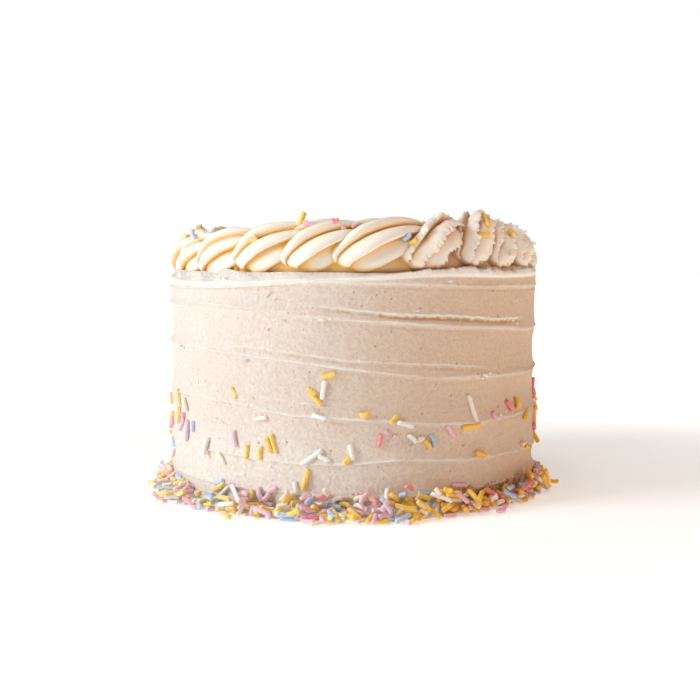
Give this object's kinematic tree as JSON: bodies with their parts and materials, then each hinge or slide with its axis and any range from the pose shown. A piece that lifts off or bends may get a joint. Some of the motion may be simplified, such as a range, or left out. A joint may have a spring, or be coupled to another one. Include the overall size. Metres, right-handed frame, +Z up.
{
  "type": "cake",
  "caption": "Uncut round vanilla cake with scraped buttercream sides, a rope of piped shells round its top edge and sugar strands stuck to it and heaped at its foot",
  "frame": {"origin": "the middle of the cake's base, on the surface that it stands on", "axes": "+Z up through the middle of the cake, -Y towards the side that the picture shows, +X to the right of it"},
  "size_m": [0.1821, 0.1799, 0.1178],
  "materials": {
    "icing": "soft satin buttercream, ivory",
    "piping": "soft satin buttercream, cream",
    "sugar_strands": "satin sugar in yellow, pink, coral, lilac, pale blue, white and cream"
  },
  "bodies": {
    "root": {"iced_cake": "icing", "piped_border": "piping", "foot_strands": "sugar_strands"}
  },
  "joints": []
}
